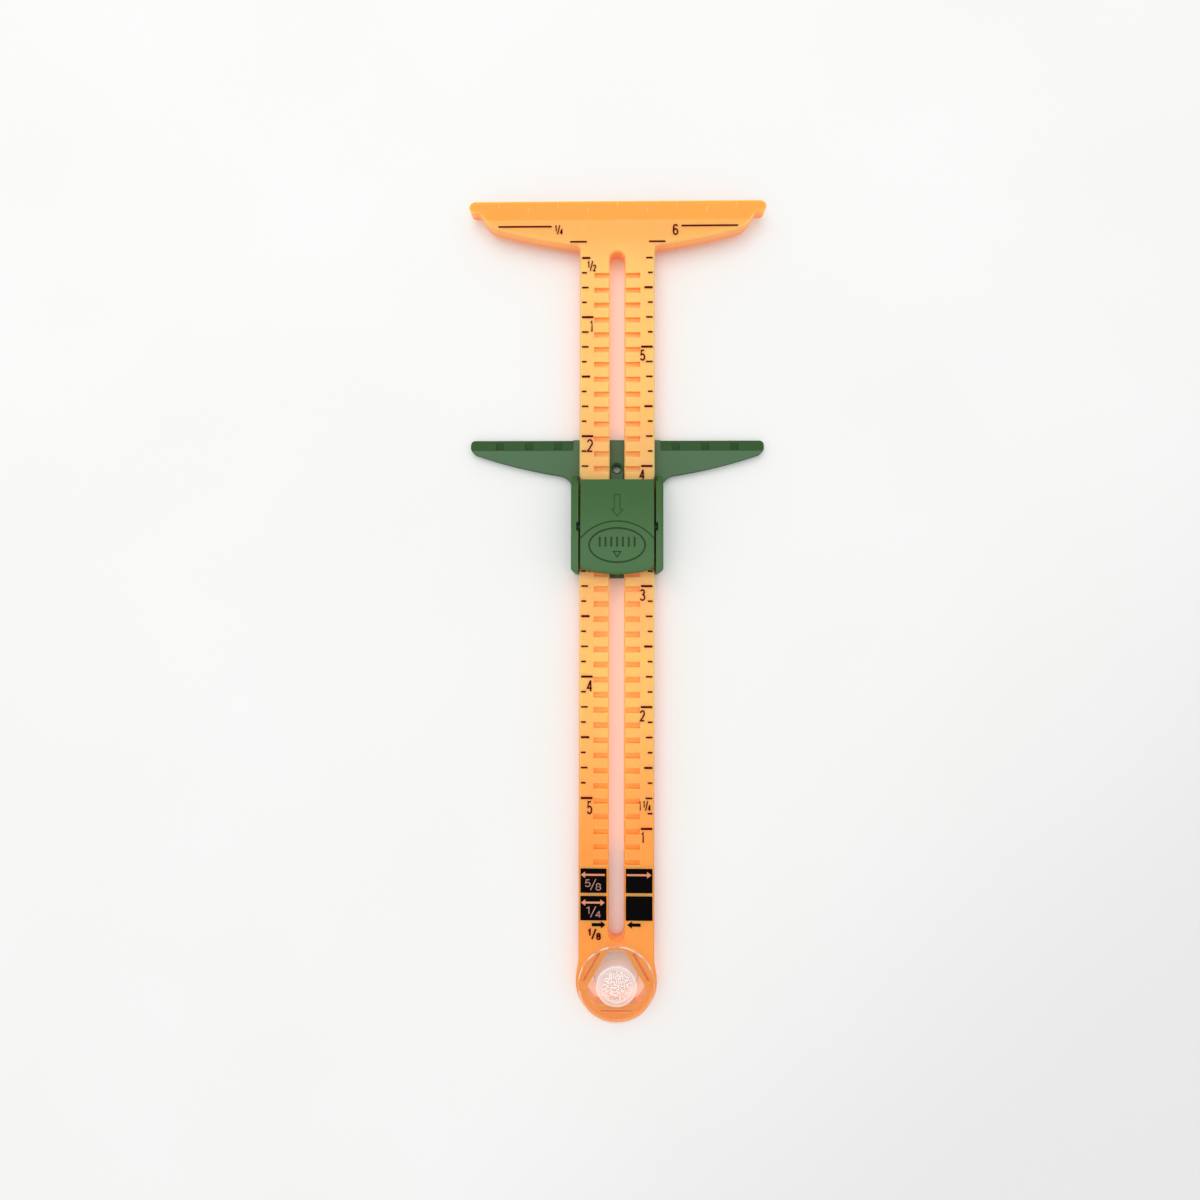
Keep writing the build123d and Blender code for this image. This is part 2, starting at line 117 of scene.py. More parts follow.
class Finish:
    """A material and its nodes."""

    def __init__(self, name):
        self.material = bpy.data.materials.new(name)
        self.material.use_nodes = True
        self.material.node_tree.nodes.clear()

    def node(self, kind, settings=None, inputs=None, output=0):
        """A new node: its settings first, then the values or links of its sockets."""
        tree = self.material.node_tree
        made = tree.nodes.new(kind)
        for key, value in (settings or {}).items():
            setattr(made, key, value)
        for key, value in (inputs or {}).items():
            if isinstance(value, Value):
                tree.links.new(value.socket, made.inputs[key])
            else:
                made.inputs[key].default_value = value
        return Value(self, made.outputs[output]) if made.outputs else None

    def place(self):
        """Object coordinates, in metres, in the gauge's own frame."""
        return self.node("ShaderNodeTexCoord", output="Object")

    def axis(self, letter):
        """One coordinate of the place."""
        return self.node("ShaderNodeSeparateXYZ", None, {0: self.place()}, letter)

    def distance(self, middle):
        """How far a point lies from the upright line through middle: the length of its X and Y offset."""
        shift = {"Vector": self.place(), "Location": (-middle[0], -middle[1], 0), "Scale": (1, 1, 0)}
        level = self.node("ShaderNodeMapping", None, shift)
        return self.node("ShaderNodeVectorMath", {"operation": "LENGTH"}, {0: level}, "Value")

    def facing(self, letter):
        """How far the surface faces along an axis: along Z, 1 on a top face, 0 on a wall, -1 underneath."""
        normal = self.node("ShaderNodeNewGeometry", output="Normal")
        return self.node("ShaderNodeSeparateXYZ", None, {0: normal}, letter)

    def noise(self, size, detail=2.0, stretch=(1.0, 1.0, 1.0)):
        """Smooth noise, about 0.3 to 0.7, with lumps about this many metres across before the stretch."""
        where = self.node("ShaderNodeMapping", None, {"Vector": self.place(), "Scale": stretch})
        inputs = {"Vector": where, "Scale": 1 / size, "Detail": detail}
        return self.node("ShaderNodeTexNoise", None, inputs)

    def ramp(self, value, low, high):
        """0 on the far side of low, 1 beyond high, and a smooth rise between. low may be the larger."""
        smooth = {"interpolation_type": "SMOOTHSTEP"}
        limits = {"Value": value, "From Min": low, "From Max": high}
        return self.node("ShaderNodeMapRange", smooth, limits)

    def between(self, value, start, full, fall, end):
        """1 from full to fall and 0 outside start and end: the product of a ramp up and a ramp down."""
        return self.ramp(value, start, full) * self.ramp(value, end, fall)

    def blend(self, share, first, second):
        """The first colour where share is 0 and the second where it is 1."""
        return self.node("ShaderNodeMix", {"data_type": "RGBA"}, {0: share, 6: first, 7: second}, 2)

    def layered(self, base, layers):
        """The base colour with each (share, colour) blended over it in turn."""
        for share, over in layers:
            base = self.blend(share, base, over)
        return base

    def bump(self, height, strength, distance, normal=None):
        """A normal tilted by the slope of height times distance, over another bump's normal if given."""
        inputs = {"Height": height, "Strength": strength, "Distance": distance}
        if normal is not None:
            inputs["Normal"] = normal
        return self.node("ShaderNodeBump", None, inputs)

    def surface(self, inputs):
        """Ends the material in one Principled surface with these inputs."""
        shader = self.node("ShaderNodeBsdfPrincipled", None, inputs)
        self.node("ShaderNodeOutputMaterial", None, {"Surface": shader})
        return self.material


def colour(red, green, blue):
    """A colour given as it is seen, 0 to 255, as the linear colour that a shader takes: a share v of 255 is
    v / 12.92 up to 0.04045, and ((v + 0.055) / 1.055) to the power 2.4 above that."""
    seen = np.array([red, green, blue]) / 255
    linear = np.where(seen <= 0.04045, seen / 12.92, ((seen + 0.055) / 1.055) ** 2.4)
    return (*linear.tolist(), 1.0)


FACE_UPPER = colour(255, 204, 116)
FACE_LOWER = colour(255, 158, 68)
FACE_CLOUDY = colour(255, 188, 96)
FACE_WARM = colour(255, 178, 112)
HEAD_FACE = colour(255, 176, 84)
BEVEL_FACE = colour(255, 168, 62)
BEVEL_TICK = colour(255, 212, 140)
EDGE_LIGHT_UPPER = colour(255, 188, 118)
EDGE_LIGHT_LOWER = colour(250, 146, 66)
CHAMFER_SHADE_UPPER = colour(253, 186, 112)
CHAMFER_SHADE_LOWER = colour(244, 144, 74)
POCKET_SHADE = colour(250, 162, 30)
WALL_LIGHT_UPPER = colour(252, 178, 100)
WALL_LIGHT_LOWER = colour(250, 136, 98)
HOLE_WALL_LIGHT = colour(248, 190, 136)

NO_GLOW = (0.0, 0.0, 0.0, 1.0)
FACE_GLOW = (0.07, 0.004, 0.0, 1.0)
WALL_GLOW = (0.1, 0.02, 0.01, 1.0)
OUTER_GLOW = (0.2, 0.05, 0.025, 1.0)
SLOT_GLOW = (0.72, 0.24, 0.06, 1.0)
HOLE_GLOW = (1.3, 0.42, 0.22, 1.0)


def on_stem(finish):
    """1 on the stem and 0 on the head."""
    return finish.ramp(finish.axis("Y"), down(HEAD_LONG), down(HEAD_LONG + 3 * MM))


def by_snap_hole(finish):
    """1 within the snap hole's reach and 0 beyond it."""
    from_middle = finish.distance((0, down(SNAP_HOLE_DOWN)))
    return finish.ramp(from_middle, SNAP_HOLE_REACH + 0.5 * MM, SNAP_HOLE_REACH)


def orange_colour(finish):
    """Painted light and shade: yellow in the stem's upper half and redder towards its shaded end. It is a
    deeper orange in the pockets, painted shade, and on the bevel, and paler in the bevel's sunk ticks. A
    painted rim of light runs along the stem's edges and the slot, the chamfers are painted darker as shade,
    and the walls are painted pinkish low down and round the snap hole, as light that leaves the milky
    plastic."""
    height, along, upward = finish.axis("Z"), finish.axis("Y"), finish.facing("Z")
    across = abs(finish.axis("X"))
    below_face = ruler_face - height
    below_bevel = below_face - HEAD_BEVEL_DROP / HEAD_BEVEL * (along - down(HEAD_BEVEL))
    shaded_end = finish.ramp(along, *SHADED_END)
    cloudy = finish.noise(9 * MM, 3.0, (1.0, 0.45, 1.0))
    warm = finish.between(along, *WARM_STRETCH)
    head = finish.ramp(along, down(16 * MM), down(6 * MM))
    bevel = finish.ramp(along, down(HEAD_BEVEL + 0.2 * MM), down(HEAD_BEVEL - 0.2 * MM))
    outer_edge = finish.ramp(across, STEM_HALF - 0.9 * MM, STEM_HALF)
    slot_edge = finish.ramp(across, SLOT_HALF + 0.8 * MM, SLOT_HALF)
    edge = (outer_edge + slot_edge) * on_stem(finish)
    chamfer = finish.ramp(upward, 0.95, 0.85)
    on_top = finish.ramp(upward, 0.9, 0.97)
    sunk = finish.ramp(below_face, POCKET_DEEP - 0.1 * MM, POCKET_DEEP - 0.04 * MM)
    pocket = sunk * finish.ramp(along, down(HEAD_LONG), down(HEAD_LONG + 2 * MM)) * on_top
    tick = finish.ramp(below_bevel, 0.05 * MM, 0.09 * MM) * bevel * on_top
    wall = finish.ramp(abs(upward), 0.6, 0.3)
    low_on_wall = finish.ramp(height, ruler_face - 1.4 * MM, ruler_back)
    return finish.layered(
        # Painted light and shade: yellower towards the head's end, redder towards the shaded end.
        finish.blend(shaded_end, FACE_UPPER, FACE_LOWER),
        [
            (cloudy * 0.3, FACE_CLOUDY),
            (warm * 0.45, FACE_WARM),
            (head * 0.75, HEAD_FACE),
            (bevel * 0.8, BEVEL_FACE),
            # Painted light: a rim along the stem's edges and the slot, where light leaves the milky
            # plastic.
            (edge * 0.3, finish.blend(shaded_end, EDGE_LIGHT_UPPER, EDGE_LIGHT_LOWER)),
            # Painted shade: the chamfers darker.
            (chamfer, finish.blend(shaded_end, CHAMFER_SHADE_UPPER, CHAMFER_SHADE_LOWER)),
            # Painted shade: the pockets a deeper orange.
            (pocket * 0.32, POCKET_SHADE),
            (tick * 0.5, BEVEL_TICK),
            # Painted light: the walls pinkish red low down, and paler round the snap hole.
            (wall, finish.blend(low_on_wall, WALL_LIGHT_UPPER, WALL_LIGHT_LOWER)),
            (by_snap_hole(finish) * wall, HOLE_WALL_LIGHT),
        ],
    )


def orange_glow(finish):
    """Painted light: an emitted glow stands in for light that has come through the milky plastic and leaves
    it.
    It is strongest underneath, beside the slot and round the snap hole, and the inked squares keep it in."""
    upward, stem = finish.facing("Z"), on_stem(finish)
    across = abs(finish.axis("X"))
    below_face = ruler_face - finish.axis("Z")
    deep_wall = finish.ramp(below_face, POCKET_DEEP, POCKET_DEEP + 0.5 * MM) * finish.ramp(upward, 0.8, 0.3)
    stem_rim = finish.ramp(abs(across - STEM_HALF), 0.7 * MM, 0.4 * MM) * stem
    beside_slot = finish.ramp(across, 6 * MM, 2 * MM) * stem
    inked = finish.between(finish.axis("Y"), *SQUARES_STRETCH) * finish.ramp(across, 6 * MM, 4 * MM)
    underneath = finish.ramp(upward, -0.5, -0.9)
    below = finish.blend(beside_slot, OUTER_GLOW, SLOT_GLOW)
    below = finish.layered(below, [(by_snap_hole(finish), HOLE_GLOW), (inked * 0.95, NO_GLOW)])
    above = finish.blend(stem_rim, FACE_GLOW, NO_GLOW)
    return finish.layered(above, [(deep_wall, WALL_GLOW), (underneath, below)])


def orange_plastic():
    """Light goes deep into the plastic. Its face has slow waves and a very fine grain."""
    finish = Finish("milky_orange_plastic")
    waves = finish.bump(finish.noise(6 * MM, 1.0), 0.3, 0.1 * MM)
    return finish.surface(
        {
            "Base Color": orange_colour(finish),
            "Roughness": 0.32 + 0.12 * finish.noise(3 * MM),
            "Normal": finish.bump(finish.noise(0.25 * MM, 3.0), 0.1, 0.01 * MM, waves),
            "IOR": 1.49,
            "Specular IOR Level": 0.3,
            "Subsurface Weight": 1.0,
            "Subsurface Radius": (1.0, 0.4, 0.22),
            "Subsurface Scale": 4.5 * MM,
            "Emission Color": orange_glow(finish),
            "Emission Strength": 1.0,
        }
    )


def dress(node, material):
    """Gives a CAD node this material in place of its own."""
    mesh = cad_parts[node].data
    mesh.materials.clear()
    mesh.materials.append(material)


dress("t_ruler", orange_plastic())


# THE TICKS OF THE SCALES
# Screen printed on the ruler's face in maroon black ink. The left scale gives inches from the head's edge,
# and the right one gives the radius of a circle that is swung about the button.

INK_THICK = 0.03 * MM
EIGHTH = INCH / 8
LEFT_START = -7.5 * MM
RIGHT_END = 7.5 * MM
RADIUS_ZERO = 6.25 * INCH
THICK_LINE = 0.46 * MM
FINE_LINE = 0.36 * MM
SHARPEST_CORNER = 0.35
TICK_LONG = {8: 2.45 * MM, 4: 1.75 * MM, 2: 1.4 * MM, 1: 1.0 * MM}


def mesh_piece(name, points, faces, material, body, slot, smooth=False):
    """A new piece from arrays of points and faces, riding on a body."""
    mesh = bpy.data.meshes.new(name)
    mesh.from_pydata(np.asarray(points).tolist(), [], faces)
    mesh.polygons.foreach_set("use_smooth", [smooth] * len(mesh.polygons))
    mesh.materials.append(material)
    mesh.update()
    piece = bpy.data.objects.new(name, mesh)
    bpy.context.scene.collection.objects.link(piece)
    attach(piece, body)
    return piece


def joined(parts):
    """Several (points, faces) as one: each part's corner numbers go up by the count of points before it."""
    starts = np.cumsum([0] + [len(points) for points, _ in parts])
    faces = [[i + start for i in face] for start, (_, part) in zip(starts, parts) for face in part]
    return np.concatenate([points for points, _ in parts]), faces


def ink_line(path, width, level=0):
    """A line of ink: a flat rectangle carried along the path. With n and m the unit normals of the path
    before and after a point, the two sides lie half the width times (n + m) / (1 + n.m) away from it, so
    that the line keeps its width round a corner. The divisor is held up at a very sharp one."""
    path = np.asarray(path, float)
    run = np.diff(path, axis=0)
    run /= np.linalg.norm(run, axis=1)[:, None]
    normal = np.stack([-run[:, 1], run[:, 0]], axis=1)
    before = np.vstack([normal[:1], normal])
    after = np.vstack([normal, normal[-1:]])
    spread = np.maximum(1 + np.sum(before * after, axis=1), SHARPEST_CORNER)[:, None]
    mitre = (before + after) / spread
    foot = ruler_face + level * INK_THICK
    left, right = path + mitre * width / 2, path - mitre * width / 2
    corners = [(right, foot), (left, foot), (left, foot + INK_THICK), (right, foot + INK_THICK)]
    points = np.stack([np.column_stack([p, np.full(len(p), z)]) for p, z in corners], axis=1)
    ring = 4 * np.arange(len(path) - 1)[:, None, None]
    side = np.array([[i, (i + 1) % 4, 4 + (i + 1) % 4, 4 + i] for i in range(4)])[None]
    faces = (ring + side).reshape(-1, 4)[:, ::-1].tolist()
    last = 4 * (len(path) - 1)
    return points.reshape(-1, 3), faces + [[0, 1, 2, 3], [last + 3, last + 2, last + 1, last]]


def scale_ticks():
    """Every tick of both scales: tick n lies n eighths of an inch from the scale's zero. Inches and halves
    are thick, and one odd eighth in each scale is as long as a quarter."""
    ticks = []
    for first, last, odd, zero, way, edge in (
        (4, 40, 9, 0, 1, LEFT_START),
        (8, 46, 39, RADIUS_ZERO, -1, RIGHT_END),
    ):
        for n in range(first, last + 1):
            step = next(s for s in (8, 4, 2, 1) if n % s == 0)
            long = TICK_LONG[2 if n == odd else step]
            y = down(zero + way * n * EIGHTH)
            inner = edge + way * long
            ticks.append(ink_line([(edge, y), (inner, y)], THICK_LINE if step > 2 else FINE_LINE))
    return ticks


def ink(name, fresh, worn):
    """Matt ink, patchy between a fresh and a worn colour, on a faint grain."""
    finish = Finish(name)
    patchy = finish.noise(0.5 * MM, 2.0)
    return finish.surface(
        {
            "Base Color": finish.blend(patchy * 0.4, colour(*fresh), colour(*worn)),
            "Roughness": 0.4 + 0.2 * patchy,
            "Specular IOR Level": 0.04,
            "Normal": finish.bump(finish.noise(0.15 * MM), 0.2, 0.005 * MM),
        }
    )


maroon_ink = ink("maroon_ink", (80, 2, 0), (108, 10, 0))
mesh_piece("scale_ticks", *joined(scale_ticks()), maroon_ink, "ruler", "ruler_plastic")


# THE FIGURES OF THE SCALES
# Printed with the ticks, in the same ink: a figure below each whole inch, the small fractions, and four
# leader lines. All of them are narrow strokes with square ends.

FIGURE_LINE = 0.32 * MM
THIN_FIGURE_LINE = 0.25 * MM
BOLD_FIGURE_LINE = 0.37 * MM
FIGURE_BELOW = 0.62 * MM
ARC_POINTS = 13


def turn(x, y, wide, high, start, stop):
    """Part of an ellipse: (x + wide cos a, y + high sin a) for angles a from start to stop, in degrees."""
    angle = np.radians(np.linspace(start, stop, ARC_POINTS))
    return np.column_stack([x + wide * np.cos(angle), y + high * np.sin(angle)])


# The strokes of each figure, in a box that is one unit wide and one high.
FIGURES = {
    "1": [[(0.3, 0.8), (0.78, 1), (0.78, 0)]],
    "2": [np.vstack([turn(0.5, 0.73, 0.5, 0.27, 170, -30), [(0, 0), (1, 0)]])],
    "3": [np.vstack([turn(0.46, 0.77, 0.44, 0.23, 155, -80), turn(0.47, 0.27, 0.53, 0.27, 90, -155)])],
    "4": [[(0.72, 1), (0, 0.28), (1, 0.28)], [(0.72, 0), (0.72, 1)]],
    "5": [np.vstack([[(0.9, 1), (0.2, 1), (0.08, 0.52)], turn(0.48, 0.31, 0.52, 0.31, 130, -155)])],
    "6": [np.vstack([turn(0.52, 0.7, 0.5, 0.3, 30, 170), turn(0.5, 0.29, 0.5, 0.29, 180, 540)])],
    "8": [turn(0.5, 0.77, 0.43, 0.23, 270, 630), turn(0.5, 0.28, 0.5, 0.28, 90, 450)],
    "/": [[(0, 0), (1, 1)]],
}


def figure(name, left, right, top, bottom, width=FIGURE_LINE, level=0):
    """One figure that fills the box from left to right and from top to bottom, both given down the ruler.
    Its strokes are scaled from the unit box to this one, less half a line on every side."""
    half = width / 2
    low = np.array([left + half, down(bottom) + half])
    size = np.array([right - half, down(top) - half]) - low
    return [ink_line(low + np.asarray(path) * size, width, level) for path in FIGURES[name]]


def fraction(over, under, left, right, top, bottom, width=FIGURE_LINE, level=0):
    """A fraction in this box: one figure high on the left, a slanting stroke, one figure low on the right.
    Each takes the given shares of the box's width and height."""
    wide, high = right - left, bottom - top
    first = figure(over, left, left + 0.35 * wide, top + 0.06 * high, top + 0.7 * high, width, level)
    slash = figure("/", left + 0.32 * wide, left + 0.7 * wide, top, bottom, width, level)
    last = figure(under, left + 0.66 * wide, right, top + 0.38 * high, bottom, width, level)
    return first + slash + last


labels = []
for name, inches, left, right, high in (
    ("1", 1, -5.95, -5.1, 2.65),
    ("2", 2, -6.4, -5.1, 2.75),
    ("3", 3, -6.4, -5.1, 2.75),
    ("4", 4, -6.3, -5.07, 2.6),
    ("5", 5, -6.25, -5.07, 2.8),
    ("5", 1.25, 4.8, 5.95, 2.4),
    ("4", 2.25, 4.7, 5.9, 2.4),
    ("3", 3.25, 4.8, 6.0, 2.5),
    ("2", 4.25, 4.85, 5.95, 2.4),
    ("1", 5.25, 5.0, 5.85, 2.4),
):
    top = inches * INCH + FIGURE_BELOW
    labels += figure(name, left * MM, right * MM, top, top + high * MM)
for over, under, left, right, top, bottom, line in (
    ("6", None, 11.75, 12.95, 5.5, 7.9, FIGURE_LINE),
    ("1", "2", -6.55, -4.5, 13.2, 15.6, THIN_FIGURE_LINE),
    ("1", "4", -13.5, -11.6, 5.5, 7.7, THIN_FIGURE_LINE),
    ("1", None, 4.6, 5.15, 127.5, 129.6, THIN_FIGURE_LINE),
    ("1", "4", 5.35, 7.2, 127.4, 129.7, THIN_FIGURE_LINE),
    ("1", "8", -6.25, -3.2, 154.0, 156.5, BOLD_FIGURE_LINE),
):
    box = [side * MM for side in (left, right, top, bottom)]
    labels += fraction(over, under, *box, line) if under else figure(over, *box, line)
for left, right, distance in (
    (-25.4, -14.0, 5.9),
    (-10.1, -6.5, 9.2),
    (13.6, 25.6, 5.85),
    (6.7, 10.2, 9.2),
):
    y = down(distance * MM)
    labels.append(ink_line([(left * MM, y), (right * MM, y)], FINE_LINE))
mesh_piece("scale_figures", *joined(labels), maroon_ink, "ruler", "ruler_plastic")


# THE SEAM SQUARES
# Four squares of black ink beside the slot's lower end, whose edges give seam widths, and two arrows below
# them. On the squares, arrows and figures are left open in the black, and show the orange plastic. Here
# they are a second, paler layer.

SQUARE_SIDES = ((-7.52, -2.07), (1.95, 7.52))
SQUARE_ENDS = ((141.65, 146.7), (147.35, 152.4))
GAP_ARROW_DOWN = 153.3 * MM
GAP_ARROW_LINES = (0.65 * MM, 1.0 * MM)
SEAM_ARROW_LINES = (0.4 * MM, 0.9 * MM)
SEAM_FIGURE_SIDES = (-6.6, -3.2)
SEAM_FIGURE_LINE = 0.17 * MM
BARB_SPREAD = 0.75
ON_SQUARE = 1


def ink_patch(outline, level=0):
    """A flat patch of ink with this outline, given anticlockwise: the outline low and again one ink's
    thickness higher, a wall for each of its sides, and a face below and above."""
    outline = np.asarray(outline, float)
    count = len(outline)
    foot = ruler_face + level * INK_THICK
    low = np.column_stack([outline, np.full(count, foot)])
    high = low + [0, 0, INK_THICK]
    walls = [[i, (i + 1) % count, count + (i + 1) % count, count + i] for i in range(count)]
    return np.vstack([low, high]), walls + [list(range(count))[::-1], list(range(count, 2 * count))]


def arrow(tail, tip, distance, shaft, barb, level=0):
    """A flat arrow across the ruler, from tail to tip. Its barbs stand out on each side by a set share of
    their length."""
    way = math.copysign(1, tip - tail)
    neck, y = tip - way * barb, down(distance)
    half, wing = way * shaft / 2, way * barb * BARB_SPREAD
    outline = [(tail, y - half), (neck, y - half), (neck, y - wing), (tip, y)]
    outline += [(neck, y + wing), (neck, y + half), (tail, y + half)]
    return ink_patch(outline, level)


squares = []
for left, right in SQUARE_SIDES:
    for top, bottom in SQUARE_ENDS:
        low, high = down(bottom * MM), down(top * MM)
        outline = [(left * MM, low), (right * MM, low), (right * MM, high), (left * MM, high)]
        squares.append(ink_patch(outline))
for tail, tip in ((-5.15, -2.25), (5.05, 2.25)):
    squares.append(arrow(tail * MM, tip * MM, GAP_ARROW_DOWN, *GAP_ARROW_LINES))
black_ink = ink("black_ink", (2, 1, 1), (7, 4, 3))
mesh_piece("seam_squares", *joined(squares), black_ink, "ruler", "ruler_plastic")

arrows = []
for tail, tip, distance in (
    (-2.4, -7.45, 142.95),
    (2.15, 7.3, 142.95),
    (-5.0, -7.4, 148.7),
    (-5.0, -2.45, 148.7),
):
    arrows.append(arrow(tail * MM, tip * MM, distance * MM, *SEAM_ARROW_LINES, ON_SQUARE))
salmon_ink = ink("salmon_ink", (226, 150, 116), (206, 124, 84))
mesh_piece("seam_arrows", *joined(arrows), salmon_ink, "ruler", "ruler_plastic")

widths = []
for over, under, top, bottom in (("5", "8", 143.75, 146.2), ("1", "4", 149.4, 151.85)):
    box = [side * MM for side in (*SEAM_FIGURE_SIDES, top, bottom)]
    widths += fraction(over, under, *box, SEAM_FIGURE_LINE, ON_SQUARE)
grey_ink = ink("grey_ink", (196, 146, 134), (176, 122, 108))
mesh_piece("seam_figures", *joined(widths), grey_ink, "ruler", "ruler_plastic")


# THE SLIDER
# The lower moulding of dark green plastic, satin from a lightly sparked mould. Its floor and wings lie on
# the cloth under the ruler, its rails stand beside the stem, and its key shows in the slot round the
# pencil hole.

FLOOR_TOP = 1.6 * MM
FLOOR_HEIGHTS = (1.3 * MM, 1.4 * MM, 2.3 * MM, 2.6 * MM)
WINDOW_TOP = 1.2 * MM
RAIL_INSIDE = 8.05 * MM
STUB_HEIGHTS = (3.4 * MM, 3.8 * MM, 6.7 * MM, 6.9 * MM)
LEVER_HALF = 7.65 * MM
LEVER_FACE_LOW = 6.9 * MM
CREST_DOWN = 20.03 * MM
CROWN_RADIUS = 133 * MM
ARROW_END_DOWN = 18 * MM
GREEN_UPPER = colour(51, 93, 41)
GREEN_LOWER_SHEEN = colour(73, 112, 68)
GREEN_MOTTLE = colour(68, 107, 60)
GREEN_FLOOR_SHEEN = colour(80, 113, 80)
GREEN_BEVEL_SHADE = colour(42, 82, 34)
GREEN_WINDOW_SHADE = colour(30, 68, 20)
GREEN_NORTH_SHADE = colour(42, 90, 28)
GREEN_GROOVE_SHADE = colour(24, 50, 18)
GREEN_GAP_SHADE = colour(18, 38, 14)
GREEN_WALL_SHADE = colour(40, 76, 30)
slider_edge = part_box("slider_base")[1].y
lever_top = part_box("push_lever")[1].z


def green_colour(finish, mottle):
    """A little paler down the slider, a painted sheen. The low flat floor is painted greyer, as the pale
    room's sheen, and the sloping bevel, the windows, the faces turned towards the head, the walls, the
    grooves of the lever and the gap round its stub pins are painted darker, as shade. The lever's crowned
    face lies d squared
    / 2R below its crest at a distance d from it, and a groove is what lies deeper than that."""
    height, along, across = finish.axis("Z"), finish.axis("Y"), abs(finish.axis("X"))
    upward, north = finish.facing("Z"), finish.facing("Y")
    flat = finish.ramp(upward, 0.975, 0.993)
    lower = finish.ramp(along, slider_edge - 10 * MM, slider_edge - 27 * MM)
    floor = finish.between(height, *FLOOR_HEIGHTS) * flat
    bevel = finish.ramp(upward, 0.982, 0.974) * finish.ramp(height, FLOOR_TOP + 0.1 * MM, FLOOR_TOP)
    window = finish.ramp(height, WINDOW_TOP + 0.1 * MM, WINDOW_TOP) * flat
    from_crest = along - (slider_edge - CREST_DOWN)
    below_crown = lever_top - from_crest * from_crest * (0.5 / CROWN_RADIUS) - height
    inside_lever = finish.ramp(across, LEVER_HALF, LEVER_HALF - 0.1 * MM)
    on_lever = inside_lever * finish.ramp(height, LEVER_FACE_LOW - 0.1 * MM, LEVER_FACE_LOW)
    groove = finish.ramp(below_crown, 0.06 * MM, 0.14 * MM) * on_lever * flat
    arrow_end = slider_edge - ARROW_END_DOWN
    on_arrow = finish.ramp(along, arrow_end - 0.1 * MM, arrow_end + 0.1 * MM)
    in_gap = finish.ramp(abs(across - RAIL_INSIDE), 0.45 * MM, 0.35 * MM)
    stub = in_gap * finish.between(height, *STUB_HEIGHTS)
    return finish.layered(
        # Painted sheen: paler down the slider.
        finish.blend(lower, GREEN_UPPER, GREEN_LOWER_SHEEN),
        [
            (mottle * 0.4, GREEN_MOTTLE),
            # Painted sheen: the low flat floor greyer.
            (floor * 0.85, GREEN_FLOOR_SHEEN),
            # Painted shade: the sloping bevel and its windows darker.
            (bevel, GREEN_BEVEL_SHADE),
            (window, GREEN_WINDOW_SHADE),
            # Painted shade: faces turned towards the head darker.
            (finish.ramp(north, 0.25, 0.6) * 0.7, GREEN_NORTH_SHADE),
            # Painted shade: the lever's grooves dark, fainter on the arrow.
            (groove * (0.75 - 0.7 * on_arrow), GREEN_GROOVE_SHADE),
            # Painted shade: the gap round the stub pins dark.
            (stub * 0.8, GREEN_GAP_SHADE),
            # Painted shade: the walls darker.
            (finish.ramp(abs(upward), 0.5, 0.2) * 0.5, GREEN_WALL_SHADE),
        ],
    )


def green_plastic(name):
    """Satin, with a fine sparked grain and slow waves in the face."""
    finish = Finish(name)
    mottle = finish.noise(4 * MM, 4.0)
    grain = finish.bump(finish.noise(0.12 * MM, 3.0), 0.25, 0.012 * MM)
    return finish.surface(
        {
            "Base Color": green_colour(finish, mottle),
            "Roughness": 0.42 + 0.12 * mottle,
            "Normal": finish.bump(finish.noise(5 * MM, 1.0), 0.2, 0.1 * MM, grain),
            "IOR": 1.5,
            "Specular IOR Level": 0.25,
            "Subsurface Weight": 0.08,
            "Subsurface Radius": (0.4, 1.0, 0.4),
            "Subsurface Scale": 0.4 * MM,
        }
    )


dress("slider_base", green_plastic("slider_green_plastic"))


# THE LEVER
# A rocker of the same green plastic, with its arrow, thumb oval and grip ribs sunk in the crowned face. It
# snaps between the rails on two stub pins, and its teeth drop into the ruler's pockets.

lever_green = green_plastic("lever_green_plastic")
dress("push_lever", lever_green)


# THE SPRING TONGUE
# A thin tongue of the lever's own moulding, hidden under it, that bears on the slider's key and brings the
# teeth back down. It bends as the lever rocks. A copy with its corners joined takes the solid's place.

WELD_DISTANCE = 0.001 * MM


def welded_copy(name, node):
    """A new mesh with a CAD node's shape, its loose triangles joined where their corners meet."""
    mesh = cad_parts[node].data.copy()
    mesh.name = name
    shape = bmesh.new()
    shape.from_mesh(mesh)
    bmesh.ops.remove_doubles(shape, verts=shape.verts, dist=WELD_DISTANCE)
    shape.to_mesh(mesh)
    shape.free()
    mesh.materials.clear()
    return mesh


tongue_mesh = welded_copy("bending_tongue", "spring_tongue")
tongue_mesh.materials.append(lever_green)
tongue = bpy.data.objects.new("bending_tongue", tongue_mesh)
bpy.context.scene.collection.objects.link(tongue)
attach(tongue, "lever")
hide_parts("spring_tongue")
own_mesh(tongue)


# THE BUTTON
# The pivot for drawing circles, one moulding of clear plastic. A hollow boss with a bead round it snaps
# down through the ruler's three sided hole, and the disc on top has a thin round rim and a ring about its
# dish.

AROUND = 144
CORNER_STEPS = 5
DISC_TOP = 5.95 * MM
DISC_THICK = 1.2 * MM
RING_HIGH = 0.45 * MM
RING_INNER_SLOPE = (2.9 * MM, 3.2 * MM)
RING_OUTER_SLOPE = (4.05 * MM, 4.25 * MM)
RING_MIDDLE = 3.65 * MM
BOSS_RADIUS = 4.6 * MM
BEAD_RADIUS = 4.95 * MM
HOLLOW_RADIUS = 3.35 * MM
CLEAR_TINT = colour(255, 252, 250)
DISH_SHADE = colour(232, 196, 184)
DISC_SHADE = colour(206, 118, 74)
BOSS_PINK_LIGHT = colour(255, 205, 186)
GLINT_GLOW = (0.15, 0.15, 0.15, 1.0)
button_low, button_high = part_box("anchor_button")
button_middle = np.array([(button_low.x + button_high.x) / 2, (button_low.y + button_high.y) / 2])
